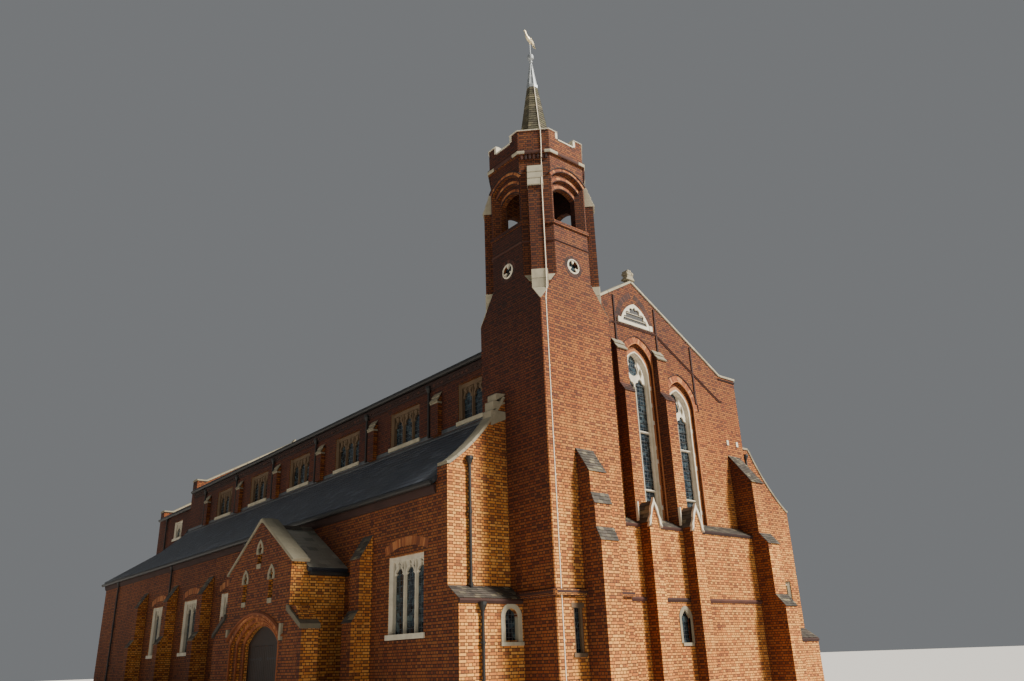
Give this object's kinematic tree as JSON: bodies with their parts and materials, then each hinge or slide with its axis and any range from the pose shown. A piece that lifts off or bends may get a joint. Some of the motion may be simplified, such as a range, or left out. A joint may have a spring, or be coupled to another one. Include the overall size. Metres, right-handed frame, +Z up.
{
  "type": "brick church building",
  "caption": "Hollow brick church with a slender tower and tiled spire, gabled nave, lower aisles, chancel and a gabled side porch with double doors.",
  "frame": {"origin": "middle of the building's footprint at ground level", "axes": "+Z up, +Y along the nave from the west gable to the chancel, +X to the right for someone who faces the west gable"},
  "size_m": [17.89, 35.4, 22.155],
  "materials": {
    "brick": null,
    "stone": "dressed cream stone",
    "slate": "natural slate",
    "tile": "weathered clay tile",
    "lead": "dull lead sheet",
    "gilt": "worn gilt",
    "glass": "dark leaded glass",
    "oak": "dark stained oak",
    "floor": "stone flags"
  },
  "bodies": {
    "building": {"tower_shaft": "brick", "tower_octagon": "brick", "belfry_stage": "brick", "tower_parapet": "brick", "tower_buttress": "brick", "west_wall": "brick", "west_plinth": "brick", "west_buttress_left": "brick", "west_buttress_right": "brick", "west_corner_buttress": "brick", "clerestory_wall_left": "brick", "clerestory_wall_right": "brick", "arcade_left": "brick", "arcade_right": "brick", "nave_east_wall": "brick", "chancel_wall_left": "brick", "chancel_wall_right": "brick", "chancel_east_wall": "brick", "aisle_west_wall_left": "brick", "aisle_west_wall_right": "brick", "aisle_wall_left": "brick", "aisle_wall_right": "brick", "porch_wall_left": "brick", "porch_wall_right": "brick", "porch_gable": "brick", "west_coping": "stone", "gable_cross_stump": "stone", "west_window_centre": "stone", "west_window_right": "stone", "porch_coping": "stone", "nave_roof": "slate", "chancel_roof": "slate", "aisle_roof_left": "slate", "aisle_roof_right": "slate", "porch_roof": "slate", "spire": "tile", "tower_roof_deck": "lead", "spire_cap": "lead", "spire_finial": "lead", "west_glass": "glass", "east_glass": "glass", "clerestory_glass_left": "glass", "clerestory_glass_right": "glass", "aisle_glass_left": "glass", "aisle_glass_right": "glass", "gable_louvre": "oak", "porch_door_frame": "oak", "floor": "floor"},
    "door_left": {"porch_door_left": "oak"},
    "door_right": {"porch_door_right": "oak"},
    "vane": {"weather_vane": "gilt"}
  },
  "joints": [
    {"name": "door_left_hinge", "type": "hinge", "parent": "building", "child": "door_left", "pos_m": [-8.429, -6.763, 1.1], "axis": [0, 0, 1], "range_deg": [0, 95]},
    {"name": "door_right_hinge", "type": "hinge", "parent": "building", "child": "door_right", "pos_m": [-8.429, -9.037, 1.1], "axis": [0, 0, -1], "range_deg": [0, 95]},
    {"name": "vane_spin", "type": "hinge", "parent": "building", "child": "vane", "pos_m": [-3.82, -15.625, 21.6], "axis": [0, 0, 1], "continuous": true}
  ]
}
